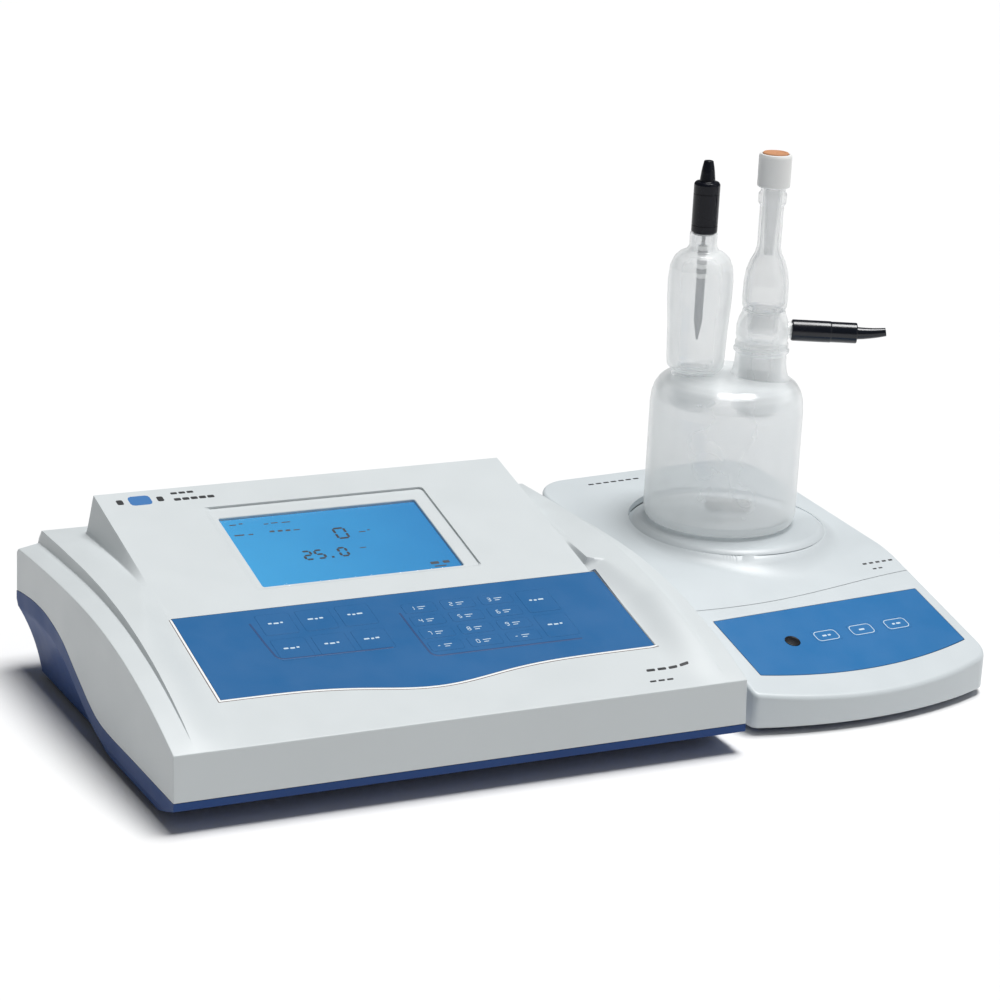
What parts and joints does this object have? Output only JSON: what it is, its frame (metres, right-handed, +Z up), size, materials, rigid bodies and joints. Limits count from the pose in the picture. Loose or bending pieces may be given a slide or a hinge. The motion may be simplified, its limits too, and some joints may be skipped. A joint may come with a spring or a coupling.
{
  "type": "laboratory moisture titrator",
  "caption": "Sloping bench console with display and membrane keys, beside a magnetic stirrer holding a glass titration cell with electrodes.",
  "frame": {"origin": "middle of the whole object's footprint, on the bench", "axes": "+Z up, +X to the operator's right, +Y to the back"},
  "size_m": [0.4504, 0.2512, 0.2564],
  "materials": {
    "case_white": "fine satin moulding",
    "base_blue": "satin moulding",
    "overlay_blue": "printed polyester film",
    "stirrer_overlay_blue": "printed polyester film",
    "circuit_board": "solder mask",
    "transformer_core": "laminated core and tape",
    "black_plastic": "satin",
    "indicator_black": "gloss",
    "nickel": "bright nickel",
    "electrode_steel": "fine turned",
    "motor_steel": "zinc plate",
    "foot_rubber": "matt",
    "display_blue": "lit liquid crystal panel",
    "clear_window": "clear acrylic",
    "cell_glass": "clear borosilicate",
    "frit_white": "sintered",
    "cap_white": "moulded",
    "septum_orange": "silicone",
    "ptfe_white": "smooth"
  },
  "bodies": {
    "console": {"console_top_cover": "case_white", "console_base": "base_blue", "main_board": "circuit_board", "transformer": "transformer_core", "mains_inlet": "black_plastic", "measuring_socket": "nickel", "generator_socket": "nickel", "console_foot_front": "foot_rubber", "console_foot_rear": "foot_rubber", "console_overlay": "overlay_blue", "display_window": "clear_window", "display_module": "display_blue", "key_board": "circuit_board"},
    "stirrer_unit": {"stirrer_front_cover": "case_white", "stirrer_deck": "case_white", "stirrer_base": "base_blue", "stirrer_motor": "motor_steel", "stirrer_board": "circuit_board", "cell_platform": "case_white", "stirrer_foot_front": "foot_rubber", "stirrer_foot_rear": "foot_rubber", "stirrer_overlay": "stirrer_overlay_blue", "indicator_lens": "indicator_black"},
    "rotor": {"magnet_carrier": "motor_steel"},
    "cell": {"cell_vessel": "cell_glass"},
    "stirring_bar": {"stir_bar": "ptfe_white"},
    "adapter": {"bulb_adapter": "cell_glass"},
    "electrode": {"electrode_rod": "electrode_steel", "electrode_cap": "black_plastic"},
    "generator": {"generator_tube": "cell_glass", "generator_frit": "frit_white"},
    "drying": {"drying_tube": "cell_glass", "inner_tube": "cell_glass"},
    "cap": {"screw_cap": "cap_white", "septum": "septum_orange"},
    "plug": {"generator_plug": "black_plastic"},
    "rocker": {"power_rocker": "black_plastic"},
    "body_stirrer_key_1": {"stirrer_key_1": "stirrer_overlay_blue"},
    "body_stirrer_key_2": {"stirrer_key_2": "stirrer_overlay_blue"},
    "body_stirrer_key_3": {"stirrer_key_3": "stirrer_overlay_blue"},
    "body_console_key_01": {"console_key_01": "overlay_blue"},
    "body_console_key_02": {"console_key_02": "overlay_blue"},
    "body_console_key_03": {"console_key_03": "overlay_blue"},
    "body_console_key_04": {"console_key_04": "overlay_blue"},
    "body_console_key_05": {"console_key_05": "overlay_blue"},
    "body_console_key_06": {"console_key_06": "overlay_blue"},
    "body_console_key_07": {"console_key_07": "overlay_blue"},
    "body_console_key_08": {"console_key_08": "overlay_blue"},
    "body_console_key_09": {"console_key_09": "overlay_blue"},
    "body_console_key_10": {"console_key_10": "overlay_blue"},
    "body_console_key_11": {"console_key_11": "overlay_blue"},
    "body_console_key_12": {"console_key_12": "overlay_blue"},
    "body_console_key_13": {"console_key_13": "overlay_blue"},
    "body_console_key_14": {"console_key_14": "overlay_blue"},
    "body_console_key_15": {"console_key_15": "overlay_blue"},
    "body_console_key_16": {"console_key_16": "overlay_blue"},
    "body_console_key_17": {"console_key_17": "overlay_blue"},
    "body_console_key_18": {"console_key_18": "overlay_blue"},
    "body_console_key_19": {"console_key_19": "overlay_blue"},
    "body_console_key_20": {"console_key_20": "overlay_blue"}
  },
  "joints": [
    {"name": "stirrer_unit_slide", "type": "slide", "parent": "console", "child": "stirrer_unit", "axis": [1, 0, 0], "range_m": [0, 0.08]},
    {"name": "cell_lift", "type": "slide", "parent": "stirrer_unit", "child": "cell", "axis": [0, 0, 1], "range_m": [0, 0.12]},
    {"name": "adapter_lift", "type": "slide", "parent": "cell", "child": "adapter", "axis": [0, 0, 1], "range_m": [0, 0.045]},
    {"name": "electrode_lift", "type": "slide", "parent": "adapter", "child": "electrode", "axis": [0, 0, 1], "range_m": [0, 0.07]},
    {"name": "generator_lift", "type": "slide", "parent": "cell", "child": "generator", "axis": [0, 0, 1], "range_m": [0, 0.05]},
    {"name": "drying_tube_lift", "type": "slide", "parent": "generator", "child": "drying", "axis": [0, 0, 1], "range_m": [0, 0.03]},
    {"name": "screw_cap_lift", "type": "slide", "parent": "drying", "child": "cap", "axis": [0, 0, 1], "range_m": [0, 0.03]},
    {"name": "generator_plug_pull", "type": "slide", "parent": "generator", "child": "plug", "axis": [0.8923, -0.4515, 0], "range_m": [0, 0.02]},
    {"name": "rotor_spin", "type": "hinge", "parent": "stirrer_unit", "child": "rotor", "pos_m": [0.1463, 0.03985, 0.042], "axis": [0, 0, 1], "continuous": true},
    {"name": "stir_bar_spin", "type": "hinge", "parent": "cell", "child": "stirring_bar", "pos_m": [0.1463, 0.03985, 0.066], "axis": [0, 0, 1], "continuous": true},
    {"name": "power_rocker_tilt", "type": "hinge", "parent": "console", "child": "rocker", "pos_m": [-0.02619, 0.09833, 0.053], "axis": [1, 0, 0], "range_deg": [0, 12]},
    {"name": "stirrer_key_1_press", "type": "slide", "parent": "stirrer_unit", "child": "body_stirrer_key_1", "axis": [-0.0268, 0.3066, -0.9515], "range_m": [0, 0.0004], "stiffness_N_per_m": 800, "springref_m": -0.001},
    {"name": "stirrer_key_2_press", "type": "slide", "parent": "stirrer_unit", "child": "body_stirrer_key_2", "axis": [-0.0268, 0.3066, -0.9515], "range_m": [0, 0.0004], "stiffness_N_per_m": 800, "springref_m": -0.001},
    {"name": "stirrer_key_3_press", "type": "slide", "parent": "stirrer_unit", "child": "body_stirrer_key_3", "axis": [-0.0268, 0.3066, -0.9515], "range_m": [0, 0.0004], "stiffness_N_per_m": 800, "springref_m": -0.001},
    {"name": "console_key_01_press", "type": "slide", "parent": "console", "child": "body_console_key_01", "axis": [0, 0.2466, -0.9691], "range_m": [0, 0.0004], "stiffness_N_per_m": 800, "springref_m": -0.001},
    {"name": "console_key_02_press", "type": "slide", "parent": "console", "child": "body_console_key_02", "axis": [0, 0.2466, -0.9691], "range_m": [0, 0.0004], "stiffness_N_per_m": 800, "springref_m": -0.001},
    {"name": "console_key_03_press", "type": "slide", "parent": "console", "child": "body_console_key_03", "axis": [0, 0.2466, -0.9691], "range_m": [0, 0.0004], "stiffness_N_per_m": 800, "springref_m": -0.001},
    {"name": "console_key_04_press", "type": "slide", "parent": "console", "child": "body_console_key_04", "axis": [0, 0.2466, -0.9691], "range_m": [0, 0.0004], "stiffness_N_per_m": 800, "springref_m": -0.001},
    {"name": "console_key_05_press", "type": "slide", "parent": "console", "child": "body_console_key_05", "axis": [0, 0.2466, -0.9691], "range_m": [0, 0.0004], "stiffness_N_per_m": 800, "springref_m": -0.001},
    {"name": "console_key_06_press", "type": "slide", "parent": "console", "child": "body_console_key_06", "axis": [0, 0.2466, -0.9691], "range_m": [0, 0.0004], "stiffness_N_per_m": 800, "springref_m": -0.001},
    {"name": "console_key_07_press", "type": "slide", "parent": "console", "child": "body_console_key_07", "axis": [0, 0.2466, -0.9691], "range_m": [0, 0.0004], "stiffness_N_per_m": 800, "springref_m": -0.001},
    {"name": "console_key_08_press", "type": "slide", "parent": "console", "child": "body_console_key_08", "axis": [0, 0.2466, -0.9691], "range_m": [0, 0.0004], "stiffness_N_per_m": 800, "springref_m": -0.001},
    {"name": "console_key_09_press", "type": "slide", "parent": "console", "child": "body_console_key_09", "axis": [0, 0.2466, -0.9691], "range_m": [0, 0.0004], "stiffness_N_per_m": 800, "springref_m": -0.001},
    {"name": "console_key_10_press", "type": "slide", "parent": "console", "child": "body_console_key_10", "axis": [0, 0.2466, -0.9691], "range_m": [0, 0.0004], "stiffness_N_per_m": 800, "springref_m": -0.001},
    {"name": "console_key_11_press", "type": "slide", "parent": "console", "child": "body_console_key_11", "axis": [0, 0.2466, -0.9691], "range_m": [0, 0.0004], "stiffness_N_per_m": 800, "springref_m": -0.001},
    {"name": "console_key_12_press", "type": "slide", "parent": "console", "child": "body_console_key_12", "axis": [0, 0.2466, -0.9691], "range_m": [0, 0.0004], "stiffness_N_per_m": 800, "springref_m": -0.001},
    {"name": "console_key_13_press", "type": "slide", "parent": "console", "child": "body_console_key_13", "axis": [0, 0.2466, -0.9691], "range_m": [0, 0.0004], "stiffness_N_per_m": 800, "springref_m": -0.001},
    {"name": "console_key_14_press", "type": "slide", "parent": "console", "child": "body_console_key_14", "axis": [0, 0.2466, -0.9691], "range_m": [0, 0.0004], "stiffness_N_per_m": 800, "springref_m": -0.001},
    {"name": "console_key_15_press", "type": "slide", "parent": "console", "child": "body_console_key_15", "axis": [0, 0.2466, -0.9691], "range_m": [0, 0.0004], "stiffness_N_per_m": 800, "springref_m": -0.001},
    {"name": "console_key_16_press", "type": "slide", "parent": "console", "child": "body_console_key_16", "axis": [0, 0.2466, -0.9691], "range_m": [0, 0.0004], "stiffness_N_per_m": 800, "springref_m": -0.001},
    {"name": "console_key_17_press", "type": "slide", "parent": "console", "child": "body_console_key_17", "axis": [0, 0.2466, -0.9691], "range_m": [0, 0.0004], "stiffness_N_per_m": 800, "springref_m": -0.001},
    {"name": "console_key_18_press", "type": "slide", "parent": "console", "child": "body_console_key_18", "axis": [0, 0.2466, -0.9691], "range_m": [0, 0.0004], "stiffness_N_per_m": 800, "springref_m": -0.001},
    {"name": "console_key_19_press", "type": "slide", "parent": "console", "child": "body_console_key_19", "axis": [0, 0.2466, -0.9691], "range_m": [0, 0.0004], "stiffness_N_per_m": 800, "springref_m": -0.001},
    {"name": "console_key_20_press", "type": "slide", "parent": "console", "child": "body_console_key_20", "axis": [0, 0.2466, -0.9691], "range_m": [0, 0.0004], "stiffness_N_per_m": 800, "springref_m": -0.001}
  ],
  "couplings": [
    {"joint": "stir_bar_spin", "follows": "rotor_spin", "ratio": 1}
  ]
}
